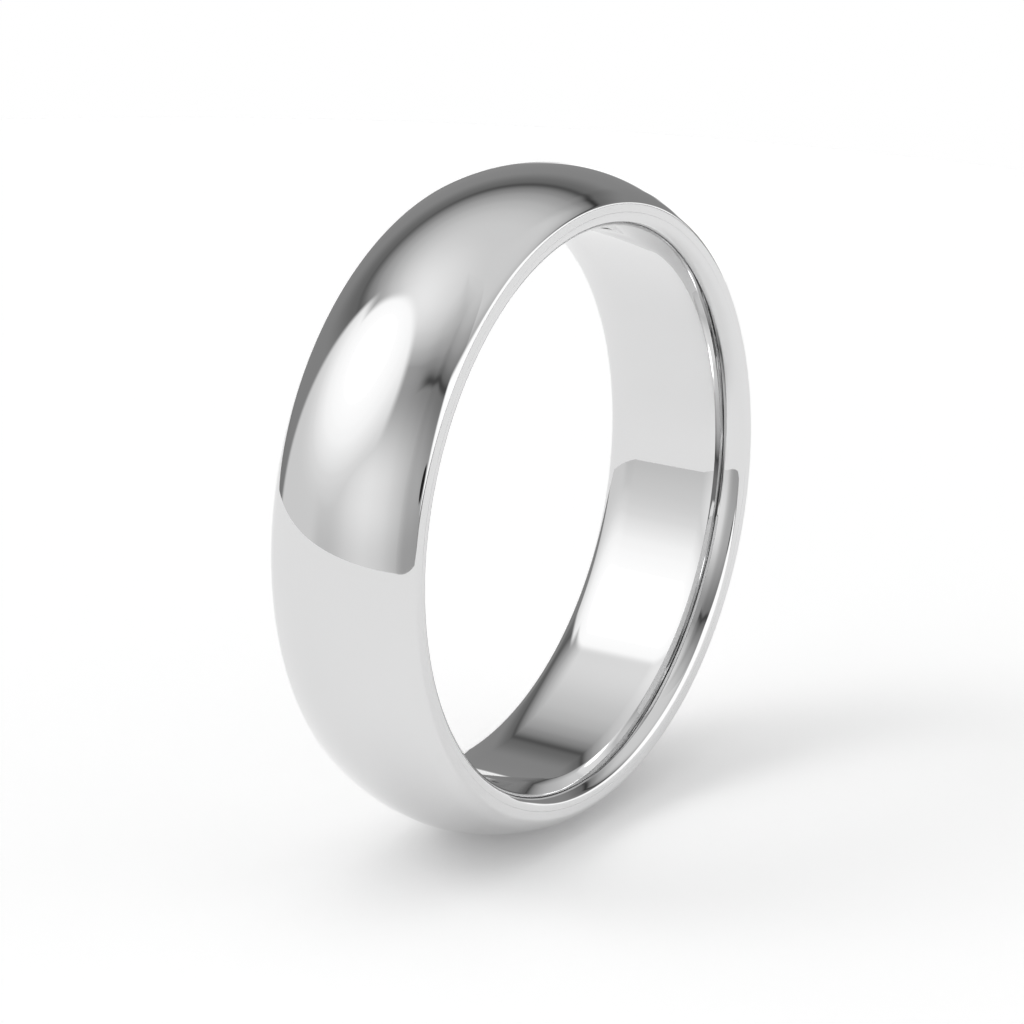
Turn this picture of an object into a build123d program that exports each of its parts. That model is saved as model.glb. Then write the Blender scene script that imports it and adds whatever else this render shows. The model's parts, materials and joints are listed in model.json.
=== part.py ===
from build123d import *
from math import cos, pi, radians, sin
import os

# A plain wedding band of court section, made as two rings: a domed outer
# band, and an inner sleeve pressed into it that touches the finger.
# Millimetres.  The ring's axis is Y, and it stands on its rim with +Z up.
# The origin is on the axis, halfway across the band's width.

# ---- driving dimensions ----
finger_circumference = 53.0  # inside circumference: ring size 53
band_width = 5.0             # along the axis, side face to side face
crown_wall = 1.77            # metal on the centre line, bore to crown
side_face = 0.44             # side face outside the seam, before its edge is rounded
rim_land = 0.05              # flat of the sleeve's end, from its rounded edge to the seam

comfort_radius = 2.7         # gentle curve that opens the bore towards each mouth
comfort_tilt = 18.0          # degrees that the bore leans out where that curve ends
lip_radius = 0.70            # tighter curve that carries on from it
lip_tilt = 42.0              # degrees where the lip curve ends
edge_radius = 0.35           # rounded edge from the lip on to the side face

shoulder_round = 0.60        # rounded edge between a side face and the dome
seam_break = 0.03            # broken edges that show the seam as a fine line

# ---- derived dimensions ----
bore_radius = finger_circumference / (2 * pi)
crown_radius = bore_radius + crown_wall
half_width = band_width / 2
comfort_sin, comfort_cos = sin(radians(comfort_tilt)), cos(radians(comfort_tilt))
lip_sin, lip_cos = sin(radians(lip_tilt)), cos(radians(lip_tilt))
comfort_reach = comfort_radius * comfort_sin
lip_reach = lip_radius * (lip_sin - comfort_sin)
edge_reach = edge_radius * (1 - lip_sin)
land_half = half_width - comfort_reach - lip_reach - edge_reach
comfort_rise = comfort_radius * (1 - comfort_cos)
lip_rise = lip_radius * (comfort_cos - lip_cos)
edge_rise = edge_radius * lip_cos
mouth_radius = bore_radius + comfort_rise + lip_rise + edge_rise
seat_radius = mouth_radius + rim_land
shoulder_radius = seat_radius + side_face


# ---- outer band ----
# Half of its section is drawn, from the straight seat out to the dome, and
# mirrored across the middle of the width.  X is the distance from the axis.
with BuildPart() as outer_band:
    with BuildSketch(Plane.XY) as band_section:
        with BuildLine():
            seat = Line((seat_radius, 0), (seat_radius, half_width))
            side = Line(seat @ 1, (shoulder_radius, half_width))
            mirror(about=Plane.XZ)
            ThreePointArc(side @ 1, (crown_radius, 0), (shoulder_radius, -half_width))
        make_face()
        corners = band_section.vertices().sort_by(Axis.X)
        chamfer(corners[:2], length=seam_break)
        corners = band_section.vertices().sort_by(Axis.X)
        fillet(corners[-2:], radius=shoulder_round)
    revolve(axis=Axis.Y)
outer_band.part.label = "outer_band"


# ---- inner sleeve ----
# A straight land in the middle, then three curves, each tighter than the last,
# that turn the bore outwards until it runs level into the side face.  Its
# outside is line to line with the band's seat, and its ends are flush.
with BuildPart() as inner_sleeve:
    with BuildSketch(Plane.XY) as sleeve_section:
        with BuildLine():
            land = Line((bore_radius, 0), (bore_radius, land_half))
            comfort = JernArc(land @ 1, (0, 1), comfort_radius, -comfort_tilt)
            lip = JernArc(comfort @ 1, comfort % 1, lip_radius, comfort_tilt - lip_tilt)
            edge = JernArc(lip @ 1, lip % 1, edge_radius, lip_tilt - 90)
            end = Line(edge @ 1, (seat_radius, half_width))
            Line(end @ 1, (seat_radius, 0))
            mirror(about=Plane.XZ)
        make_face()
        seams = sleeve_section.vertices().sort_by(Axis.X)[-2:]
        chamfer(seams, length=seam_break)
    revolve(axis=Axis.Y)
inner_sleeve.part.label = "inner_sleeve"


os.makedirs("parts", exist_ok=True)
export_step(outer_band.part, "parts/outer_band.step")
export_step(inner_sleeve.part, "parts/inner_sleeve.step")
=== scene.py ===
# %% [markdown]
# # A polished wedding band
#
# The real object is one of the plainest in a jeweller's window: a band with a domed outside,
# narrow flat sides, and a smooth sleeve that touches the finger.  It has nothing to look at
# but its curves and what they reflect, so this lesson is about two things: making a
# turned shape whose reflections run smoothly, and making a studio for it to reflect.

# %% The frame
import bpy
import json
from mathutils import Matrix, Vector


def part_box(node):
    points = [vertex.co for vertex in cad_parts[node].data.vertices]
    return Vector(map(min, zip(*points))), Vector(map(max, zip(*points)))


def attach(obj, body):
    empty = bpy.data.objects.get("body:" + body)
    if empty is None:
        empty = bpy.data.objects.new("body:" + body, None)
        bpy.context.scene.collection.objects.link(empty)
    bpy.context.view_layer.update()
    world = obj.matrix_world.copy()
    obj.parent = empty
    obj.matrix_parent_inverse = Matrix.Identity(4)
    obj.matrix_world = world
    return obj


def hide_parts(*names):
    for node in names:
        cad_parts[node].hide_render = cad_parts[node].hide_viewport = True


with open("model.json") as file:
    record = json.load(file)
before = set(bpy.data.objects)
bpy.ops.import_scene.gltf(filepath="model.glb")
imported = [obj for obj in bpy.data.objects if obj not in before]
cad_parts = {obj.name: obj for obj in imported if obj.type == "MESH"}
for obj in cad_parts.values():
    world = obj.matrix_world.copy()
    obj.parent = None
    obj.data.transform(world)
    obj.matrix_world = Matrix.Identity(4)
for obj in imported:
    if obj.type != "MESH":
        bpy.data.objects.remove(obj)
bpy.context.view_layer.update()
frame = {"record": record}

# %% [markdown]
# ## Sizes
#
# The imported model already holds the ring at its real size, so its radii and widths are
# measured from the two CAD parts and not typed in again.  The ring's axis is Y, and Z is up.
# Only the small rounded edges are given here, in metres.

# %% Sizes from the frame
import json
from math import cos, pi, radians, sin, sqrt

import bpy
from mathutils import Vector

MM = 0.001
band_low, band_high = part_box("outer_band")
sleeve_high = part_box("inner_sleeve")[1]
crown_radius = band_high[2]
half_width = band_high[1]
seat_radius = sleeve_high[2]
mounts = {mount["name"]: mount for mount in frame["record"]["mounts"]}
bore_radius = mounts["finger_bore"]["dims"]["r_mm"] * MM

SEAM_ROUND = 0.006 * MM
floor_z = band_low[2]
print("crown radius %.3f mm, width %.2f mm, bore radius %.3f mm"
      % (crown_radius / MM, 2 * half_width / MM, bore_radius / MM))

# %% [markdown]
# ## Turned shapes
#
# A ring is turned: its section goes once round the axis.  Blender's Screw modifier could
# spin a drawn section, but a mirror finish shows the smallest error in a normal, so this
# lesson works the normals out too.  A section is a list of points sampled along arcs; each
# carries its own outward direction, exact and not guessed from the facets.

# %% Turning a section into a piece
AROUND = 360


def turned_piece(name, samples):
    """Spins (radius, y, normal) samples once round the Y axis, with exact normals."""
    rows = len(samples)
    verts, normals, faces = [], [], []
    for i in range(AROUND):
        angle = 2 * pi * i / AROUND
        c, s = cos(angle), sin(angle)
        for r, y, normal in samples:
            verts.append((r * c, y, r * s))
            normals.append((normal.x * c, normal.y, normal.x * s))
    for i in range(AROUND):
        j = (i + 1) % AROUND
        for k in range(rows):
            m = (k + 1) % rows
            faces.append((i * rows + k, i * rows + m, j * rows + m, j * rows + k))
    mesh = bpy.data.meshes.new(name)
    mesh.from_pydata(verts, [], faces)
    mesh.polygons.foreach_set("use_smooth", [True] * len(faces))
    mesh.normals_split_custom_set_from_vertices(normals)
    mesh.update()
    piece = bpy.data.objects.new(name, mesh)
    bpy.context.scene.collection.objects.link(piece)
    print(name, "has", len(verts), "points")
    return piece


# %% [markdown]
# ## The outer band
#
# The outside of a court band is one broad curve across the width, drawn in tighter at the
# shoulder, with the last edge only just broken so that the side face stays crisp.  It could
# be a single arc and a bevel, but then the reflections would break where they meet.  Here
# three arcs of falling radius each start in the direction in which the last one ended.

# %% The outer band
DOME_ROUND = 4.58 * MM
SHOULDER_ROUND = 1.064 * MM
EDGE_ROUND = 0.20 * MM
EDGE_LEAN = 55.0
MEET_LEAN = 26.9
CROWN_STEPS = 60
SHOULDER_STEPS = 20
EDGE_STEPS = 14


def arc(centre, radius, first, last, steps):
    """Samples of a round stretch, from one lean of the surface to another, in radians."""
    leans = [first + (last - first) * k / steps for k in range(steps + 1)]
    return [(centre[0] + radius * cos(lean), centre[1] + radius * sin(lean),
             Vector((cos(lean), sin(lean)))) for lean in leans]


def dome_samples():
    """Half the dome as three tangent arcs: crown, shoulder and edge; then its mirror."""
    crown = (crown_radius - DOME_ROUND, 0.0)
    lean = radians(EDGE_LEAN)
    # the shoulder arc touches the crown's arc where both lean by the same angle
    meet = radians(MEET_LEAN)
    inset = DOME_ROUND - SHOULDER_ROUND
    shoulder = (crown[0] + inset * cos(meet), inset * sin(meet))
    inset = SHOULDER_ROUND - EDGE_ROUND
    edge = (shoulder[0] + inset * cos(lean), shoulder[1] + inset * sin(lean))
    half = arc(crown, DOME_ROUND, 0, meet, CROWN_STEPS)
    half += arc(shoulder, SHOULDER_ROUND, meet, lean, SHOULDER_STEPS)[1:]
    half += arc(edge, EDGE_ROUND, lean, pi / 2, EDGE_STEPS)[1:]
    reach = half[-1][1]
    print("side face starts at radius %.3f mm, half width %.3f mm" % (edge[0] / MM, reach / MM))
    half = [(r, y * half_width / reach, d) for r, y, d in half]
    return [(r, -y, Vector((d.x, -d.y))) for r, y, d in reversed(half[1:])] + half


CORNER_STEPS = 6


def seat_samples():
    """The straight seat, with a small broken edge at each side face."""
    samples = []
    for side in (1, -1):
        for k in range(CORNER_STEPS + 1):
            turn = pi / 2 * k / CORNER_STEPS
            if side > 0:
                d = Vector((-sin(turn), cos(turn)))
            else:
                d = Vector((-cos(turn), -sin(turn)))
            samples.append((seat_radius + SEAM_ROUND + SEAM_ROUND * d.x,
                            side * (half_width - SEAM_ROUND) + SEAM_ROUND * d.y, d))
    return samples


band = turned_piece("band_shell", dome_samples() + seat_samples())
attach(band, "root")
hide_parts("outer_band")


# %% [markdown]
# ## The comfort sleeve
#
# The inside of the ring isn't a plain tube: towards each side it opens, gently at first and
# then quickly, so that no edge presses on the finger.  Again these are tangent arcs, three
# on each side of a short straight land, and the piece ends flush with the side faces.

# %% The sleeve
# each curve: its radius, and how far the surface leans where it ends, in degrees
MOUTH_CURVES = ((2.70 * MM, 18.0), (0.70 * MM, 42.0), (0.35 * MM, 90.0))
MOUTH_STEPS = 24


def sleeve_samples():
    """Half the bore as a land and three tangent arcs, its outer corner, then its mirror."""
    r, y, lean = bore_radius, 0.0, 0.0
    half = []
    for radius, end in MOUTH_CURVES:
        a0, a1 = radians(lean), radians(end)
        for k in range(1 if half else 0, MOUTH_STEPS + 1):
            a = a0 + (a1 - a0) * k / MOUTH_STEPS
            half.append((r + radius * (cos(a0) - cos(a)), y + radius * (sin(a) - sin(a0)),
                         Vector((-cos(a), sin(a)))))
        r, y, lean = half[-1][0], half[-1][1], end
    shift = half_width - y
    half = [(r, y + shift, d) for r, y, d in half]
    print("land half %.3f mm, mouth radius %.3f mm" % (shift / MM, half[-1][0] / MM))
    for k in range(CORNER_STEPS + 1):
        turn = pi / 2 * (1 - k / CORNER_STEPS)
        d = Vector((cos(turn), sin(turn)))
        half.append((seat_radius - SEAM_ROUND + SEAM_ROUND * d.x,
                     half_width - SEAM_ROUND + SEAM_ROUND * d.y, d))
    half.reverse()
    return half + [(r, -y, Vector((d.x, -d.y))) for r, y, d in reversed(half)]


sleeve = turned_piece("comfort_sleeve", sleeve_samples())
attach(sleeve, "root")
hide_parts("inner_sleeve")


# %% [markdown]
# ## Sums on nodes
#
# Both the metal and the room are worked out from positions and directions, which takes many
# Math nodes.  A small class lets Python's own + - * add those nodes, so that a formula reads
# like a formula.

# %% Sums on nodes
class Num:
    """A number in a node tree: sums and products of these add Math nodes."""

    def __init__(self, tree, socket):
        self.tree = tree
        self.socket = socket

    def math(self, operation, *others):
        node = self.tree.nodes.new("ShaderNodeMath")
        node.operation = operation
        for slot, value in enumerate((self,) + others):
            if isinstance(value, Num):
                self.tree.links.new(value.socket, node.inputs[slot])
            else:
                node.inputs[slot].default_value = value
        return Num(self.tree, node.outputs[0])

    def __add__(self, other):
        return self.math("ADD", other)

    def __sub__(self, other):
        return self.math("SUBTRACT", other)

    def __mul__(self, other):
        return self.math("MULTIPLY", other)

    def step(self, start, end, low=0.0, high=1.0):
        """Runs smoothly from low, at start, to high, at end."""
        node = self.tree.nodes.new("ShaderNodeMapRange")
        node.interpolation_type = "SMOOTHSTEP"
        self.tree.links.new(self.socket, node.inputs["Value"])
        for key, value in (("From Min", start), ("From Max", end),
                           ("To Min", low), ("To Max", high)):
            node.inputs[key].default_value = value
        return Num(self.tree, node.outputs["Result"])

    def curve(self, stops, top=1.0):
        """A smooth curve through (value, result) stops; results run from 0 to top."""
        first, last = stops[0][0], stops[-1][0]
        node = self.tree.nodes.new("ShaderNodeValToRGB")
        ramp = node.color_ramp
        ramp.interpolation = "CARDINAL"
        while len(ramp.elements) < len(stops):
            ramp.elements.new(0.5)
        for k, (value, result) in enumerate(stops):
            shade = result / top
            ramp.elements[k].position = (value - first) / (last - first)
            ramp.elements[k].color = (shade, shade, shade, 1)
        spread = (self - first) * (1 / (last - first))
        self.tree.links.new(spread.socket, node.inputs["Fac"])
        grey = self.tree.nodes.new("ShaderNodeSeparateColor")
        self.tree.links.new(node.outputs["Color"], grey.inputs[0])
        return Num(self.tree, grey.outputs[0]) * top

    def over(self, below, mask):
        """This tone laid over another where the mask is 1."""
        node = self.tree.nodes.new("ShaderNodeMix")
        node.data_type = "FLOAT"
        self.tree.links.new(mask.socket, node.inputs["Factor"])
        for value, slot in ((below, 2), (self, 3)):
            self.tree.links.new(value.socket, node.inputs[slot])
        return Num(self.tree, node.outputs[0])


# %% [markdown]
# ## Polished metal
#
# White precious metal is a mirror with a neutral tint.  Polishing leaves two traces that a
# perfect mirror lacks: a haze that varies a little from place to place, and hairlines that
# run the way the buffing wheel ran, round the ring.  The flat sides are finished on a
# lapping disc and stay softer.  All of it is worked out from where a point lies on the
# ring: its radius, its place across the width, and its angle round the axis.

# %% Polished metal
METAL_TONE = 0.715
MIRROR_HAZE = 0.022
LAPPED_HAZE = 0.16
HAIRS_PER_METRE = 22000.0
HAIRS_PER_TURN = 1.5
CLOUDS_PER_METRE = 420.0
HAIR_DEPTH = 0.01 * MM
LAPPED_BUMP = 0.10


def polished_metal(name, hairlines):
    """A mirror polish with hairlines round the ring and lapped side faces."""
    material = bpy.data.materials.new(name)
    material.use_nodes = True
    tree = material.node_tree
    shader = tree.nodes["Principled BSDF"]
    shader.inputs["Base Color"].default_value = (METAL_TONE, METAL_TONE, METAL_TONE * 1.002, 1)
    shader.inputs["Metallic"].default_value = 1

    place = tree.nodes.new("ShaderNodeTexCoord")
    split = tree.nodes.new("ShaderNodeSeparateXYZ")
    tree.links.new(place.outputs["Object"], split.inputs[0])
    x, y, z = (Num(tree, split.outputs[k]) for k in range(3))
    radius = (x * x + z * z).math("SQRT")
    turn = z.math("ARCTAN2", x)

    # hairlines: noise that is drawn out along the angle and fine across it
    across = tree.nodes.new("ShaderNodeCombineXYZ")
    for slot, value in enumerate((turn * HAIRS_PER_TURN, y * HAIRS_PER_METRE, radius * HAIRS_PER_METRE)):
        tree.links.new(value.socket, across.inputs[slot])
    lines = tree.nodes.new("ShaderNodeTexNoise")
    lines.inputs["Scale"].default_value = 1.0
    lines.inputs["Detail"].default_value = 2.0
    tree.links.new(across.outputs[0], lines.inputs["Vector"])

    # haze: slow cloudy patches a few millimetres wide
    clouds = tree.nodes.new("ShaderNodeTexNoise")
    clouds.inputs["Scale"].default_value = CLOUDS_PER_METRE
    tree.links.new(place.outputs["Object"], clouds.inputs["Vector"])

    cloud = Num(tree, clouds.outputs["Fac"])
    hair = Num(tree, lines.outputs["Fac"])
    side = y.math("ABSOLUTE").step(half_width - 0.012 * MM, half_width - 0.002 * MM)
    polish = cloud.step(0.35, 0.7, MIRROR_HAZE * 0.8, MIRROR_HAZE * 1.5)
    lapped = hair.step(0.3, 0.7, LAPPED_HAZE * 0.8, LAPPED_HAZE * 1.25)
    tree.links.new(lapped.over(polish, side).socket, shader.inputs["Roughness"])

    bump = tree.nodes.new("ShaderNodeBump")
    bump.inputs["Distance"].default_value = HAIR_DEPTH
    tree.links.new(hair.socket, bump.inputs["Height"])
    tree.links.new((side * (LAPPED_BUMP - hairlines) + hairlines).socket, bump.inputs["Strength"])
    tree.links.new(bump.outputs[0], shader.inputs["Normal"])
    return material


band.data.materials.append(polished_metal("polished_band", 0.004))
sleeve.data.materials.append(polished_metal("polished_sleeve", 0.008))
print("metal tone", METAL_TONE)

# %% [markdown]
# ## The paper underneath
#
# The ring stands on white paper that ends a few centimetres away, and the far edge of that
# paper is the horizon which a polished ring shows.  An endless plane would put the horizon
# at eye level all round, so the paper has a real outline: one sheet behind, one beside.

# %% Outline of the paper
def reach(azimuth_deg, centre, radius):
    """How far a disc's edge is from the ring in one direction, or 0 where it isn't seen."""
    way = Vector((sin(radians(azimuth_deg)), cos(radians(azimuth_deg))))
    along = way.dot(centre)
    inside = along ** 2 - centre.length_squared + radius ** 2
    return along + sqrt(inside) if inside > 0 else 0.0


OUTLINE_POINTS = 180
# each sheet: its centre on the floor, and its radius
SHEETS = ((Vector((9, 36)) * MM, 95 * MM), (Vector((75, -45)) * MM, 80 * MM))
outline = []
for step in range(OUTLINE_POINTS):
    turn = 360 / OUTLINE_POINTS * step
    far = max(reach(turn, *sheet) for sheet in SHEETS)
    outline.append((far * sin(radians(turn)), far * cos(radians(turn)), floor_z))
floor_mesh = bpy.data.meshes.new("floor")
floor_mesh.from_pydata(outline, [], [list(range(OUTLINE_POINTS))])
floor = bpy.data.objects.new("floor", floor_mesh)
bpy.context.scene.collection.objects.link(floor)
print("paper outline has", len(outline), "points")

# %% [markdown]
# ## White paper
#
# The paper is a matt white below 1, as real paper is.  Seen by the eye, or in a mirror, a
# small share of plain white is added, so that it fades into the white beyond its edge.
# Matt things get no light from it.  That share knows nothing of shadow, so where the ring stands
# close above the paper it is dimmed, and the paper's own colour is darkened there too: both are
# painted shadow, laid on top of the shadow that the light casts.

# %% White paper
PAPER_TONE = 0.94
PAPER_GLOW = 0.24
CLOSE_BY = 8 * MM
paper = bpy.data.materials.new("white_paper")
paper.use_nodes = True
tree = paper.node_tree
tree.nodes.clear()
out = tree.nodes.new("ShaderNodeOutputMaterial")
lit = tree.nodes.new("ShaderNodeBsdfDiffuse")
glow = tree.nodes.new("ShaderNodeEmission")
both = tree.nodes.new("ShaderNodeAddShader")
path = tree.nodes.new("ShaderNodeLightPath")
nearness = tree.nodes.new("ShaderNodeAmbientOcclusion")
nearness.inputs["Distance"].default_value = CLOSE_BY
openness = Num(tree, nearness.outputs["AO"])
by_eye = Num(tree, path.outputs["Is Camera Ray"])
in_mirror = Num(tree, path.outputs["Is Glossy Ray"])
seen = by_eye.math("MAXIMUM", in_mirror)
# painted shadow: the paper's colour darkens to 0.85 of its tone where the ring stands close above it
shade = openness.step(0.1, 0.95, PAPER_TONE * 0.85, PAPER_TONE)
# painted shadow: the added white is dimmed to as little as half in the same place
share = seen * openness.step(0.1, 0.95, 0.5, 1.0) * PAPER_GLOW
tree.links.new(shade.socket, lit.inputs["Color"])
tree.links.new(share.socket, glow.inputs["Strength"])
tree.links.new(lit.outputs[0], both.inputs[0])
tree.links.new(glow.outputs[0], both.inputs[1])
tree.links.new(both.outputs[0], out.inputs["Surface"])
floor.data.materials.append(paper)
print("paper tone", PAPER_TONE, "added white", PAPER_GLOW)

# %% [markdown]
# ## The studio
#
# Polished metal has no look of its own: it shows the room.  For a shop's pictures a ring
# is stood in a small tent of card and cloth.  On the left is a pale wall with a
# large soft box above it, overhead is a cloth ceiling, on the right a dark card, and in
# front a white card with a hole for the lens.  Each could be a lamp or a mesh, but here
# all of them are painted on the world, as smooth functions of the direction looked in.
# That gives soft edges at any size and adds no noise.

# %% Directions in the room
world = bpy.data.worlds.new("tent")
bpy.context.scene.world = world
world.use_nodes = True
tent = world.node_tree
tent.nodes.clear()
coords = tent.nodes.new("ShaderNodeTexCoord")
parts = tent.nodes.new("ShaderNodeSeparateXYZ")
tent.links.new(coords.outputs["Generated"], parts.inputs[0])
dx, dy, dz = (Num(tent, parts.outputs[k]) for k in range(3))
TO_DEGREES = 180 / pi
azimuth = dx.math("ARCTAN2", dy) * TO_DEGREES
elevation = dz.math("ARCSINE") * TO_DEGREES
# measured from the front, so that it doesn't jump where azimuth goes from 180 to -180
front = dx.math("ARCTAN2", dy * -1) * TO_DEGREES


def angle_from(az, el):
    """Degrees between the direction looked in and one given by azimuth and elevation."""
    a, e = radians(az), radians(el)
    cosine = dx * (sin(a) * cos(e)) + dy * (cos(a) * cos(e)) + dz * sin(e)
    return cosine.math("MINIMUM", 0.99999).math("ARCCOSINE") * TO_DEGREES


def tone(value):
    """The same number in every direction."""
    node = tent.nodes.new("ShaderNodeValue")
    node.outputs[0].default_value = value
    return Num(tent, node.outputs[0])


# %% [markdown]
# ### Ceiling and dark card
#
# The ceiling cloth stops short of the walls, and the gap shows as a thin dark line that
# wanders round the room.  Everything above and below is measured from that line.

# %% Ceiling and dark card
# the gap's height over the horizon, going round the room, both in degrees
GAP_LINE = [(-180, 20), (-145, 40), (-118, 48.5), (-100, 47.5), (-70, 44), (-10, 38), (8, 31.5),
            (28, 31.5), (58, 35.5), (86, 36), (103, 34), (113, 27), (125, 18), (155, 15), (180, 20)]
# the cloth's tone, by degrees above the gap
CLOTH_TONES = [(0, 0.12), (4, 0.26), (8, 0.40), (14, 0.56), (20, 0.69), (28, 0.79), (40, 0.82),
               (60, 0.83)]
gap = azimuth.curve(GAP_LINE, top=60)
above = elevation - gap
cloth = above * azimuth.step(-142, -102, 0.60, 1.0)
ceiling = cloth.curve(CLOTH_TONES) + angle_from(-40, 64).step(36, 2, 0.0, 0.32)
card = above.step(-15, -1, 0.29, 0.17) - elevation.step(6, -8, 0.0, 0.04)
line_depth = azimuth.step(-100, -114) * 0.06
line_depth = line_depth + azimuth.step(25, 60) * 0.04 + azimuth.step(80, 108) * 0.05
line = above.step(-3, 0) * above.step(3.5, 0.5) * line_depth
sky = ceiling.over(card, above.step(-1.5, 1.5)) - line
print("gap between", min(h for a, h in GAP_LINE), "and", max(h for a, h in GAP_LINE), "degrees up")

# %% [markdown]
# ### Pale wall
#
# The wall on the left is brightest a little in front of square on, and its top fades
# towards the gap.

# %% Pale wall
# the wall's tone, going round the room
WALL_TONES = [(-180, 0.50), (-150, 0.52), (-125, 0.55), (-110, 0.70), (-100, 0.90), (-88, 1.03),
              (-78, 1.02), (-68, 0.91), (-58, 0.80), (-35, 0.84), (-20, 0.79), (-5, 0.67)]
wall = azimuth.curve(WALL_TONES, top=1.2)
wall = wall * above.step(-31, 1, 1.0, 0.42) * elevation.step(10, -8, 1.0, 0.85)
side_edge = azimuth - elevation * 0.12
wall_top = above.step(0, -3).math("MAXIMUM", azimuth.step(-114, -102))
wall_mask = side_edge.step(-6.0, -10.0) * wall_top
sky = wall.math("MAXIMUM", sky).over(sky, wall_mask)
print("wall's brightest tone", max(t for a, t in WALL_TONES))

# %% [markdown]
# ### Soft box
#
# The soft box is a white light whose glow spills down the wall, so its lower edge is soft
# and its upper edge is clean.  Its small bright core gives the shadow a direction.

# %% Soft box
HOT_CORE = 3.0
# the glow's tone, by degrees from the middle of the soft box
GLOW_TONES = [(0, 1.40), (12, 1.39), (17, 1.35), (21, 1.30), (26, 1.20), (32.5, 1.0),
              (36.5, 0.90), (42, 0.82), (60, 0.80)]
from_middle = angle_from(-41, 45)
box_glow = from_middle.step(14, 9, 0.0, HOT_CORE) + from_middle.curve(GLOW_TONES, top=1.5)
corner = (azimuth + elevation).step(49, 38)
spill = azimuth.step(-50, -40) * elevation.step(46, 38)
box_mask = angle_from(-48, 35.5).step(33, 28.5).math("MAXIMUM", spill)
box_mask = box_mask * side_edge.step(-4.5, -9.0) * corner
sky = box_glow.math("MAXIMUM", wall).over(sky, box_mask)
print("soft box core", HOT_CORE, "over a glow of", GLOW_TONES[0][1])

# %% [markdown]
# ### Front card and backdrop
#
# The white front card lights the rounded edges of the ring, and the dark spot beside it is
# the lens.  Low behind the ring is the white backdrop.

# %% Front card and backdrop
WHITE_CARD = 1.40
BACKDROP = 1.35
LENS = 0.02
front_top = front.step(64, 25, 4, 30)
front_sides = front.step(-15, -10) * front.step(78, 72)
front_mask = front_sides * elevation.step(-3.5, -2) * (elevation - front_top).step(3, -3)
sky = tone(WHITE_CARD).over(sky, front_mask)
sky = tone(LENS).over(sky, angle_from(-161, 6).step(5, 3.5))
drop = (azimuth - 79).math("ABSOLUTE") * 0.3
back_mask = azimuth.step(55, 60) * azimuth.step(96, 88) * (elevation + drop).step(8, 5)
sky = tone(BACKDROP).over(sky, back_mask)
print("front card", WHITE_CARD, "backdrop", BACKDROP, "lens", LENS)

# %% [markdown]
# ### What the camera sees
#
# Looked at straight, the room is plain white behind the ring.  Only the ring and the paper
# meet the painted tent, so the Light Path node chooses between the two.

# %% White for the camera, the tent for everything else
w_out = tent.nodes.new("ShaderNodeOutputWorld")
w_mix = tent.nodes.new("ShaderNodeMixShader")
room = tent.nodes.new("ShaderNodeBackground")
tent.links.new(sky.socket, room.inputs["Strength"])
room.inputs["Color"].default_value = (1, 1, 1, 1)
white = tent.nodes.new("ShaderNodeBackground")
white.inputs["Color"].default_value = (1, 1, 1, 1)
w_path = tent.nodes.new("ShaderNodeLightPath")
tent.links.new(w_path.outputs["Is Camera Ray"], w_mix.inputs["Fac"])
tent.links.new(room.outputs[0], w_mix.inputs[1])
tent.links.new(white.outputs[0], w_mix.inputs[2])
tent.links.new(w_mix.outputs[0], w_out.inputs["Surface"])
print("the room is made of", len(tent.nodes), "nodes")

# %% [markdown]
# ## Camera
#
# A long lens from the front left and a little above keeps the ring's two mouths close to
# their true sizes, as product pictures do.  It only looks; nothing in the scene depends on it.

# %% Camera
LENS_LENGTH = 104.33
CAMERA_PLACE = Vector((-71.375, -47.094, 26.926)) * MM
CAMERA_AIM = Vector((-1.197, -0.242, 0.0)) * MM
camera_data = bpy.data.cameras.new("camera")
camera_data.sensor_width = 36
camera_data.lens = LENS_LENGTH
camera_data.clip_start = MM
camera = bpy.data.objects.new("camera", camera_data)
bpy.context.scene.collection.objects.link(camera)
camera.location = CAMERA_PLACE
camera.rotation_euler = (CAMERA_AIM - CAMERA_PLACE).to_track_quat("-Z", "Y").to_euler()
bpy.context.scene.camera = camera
bpy.context.scene.view_settings.view_transform = "Standard"
print("camera is %.1f mm from its aim" % ((CAMERA_AIM - CAMERA_PLACE).length / MM))
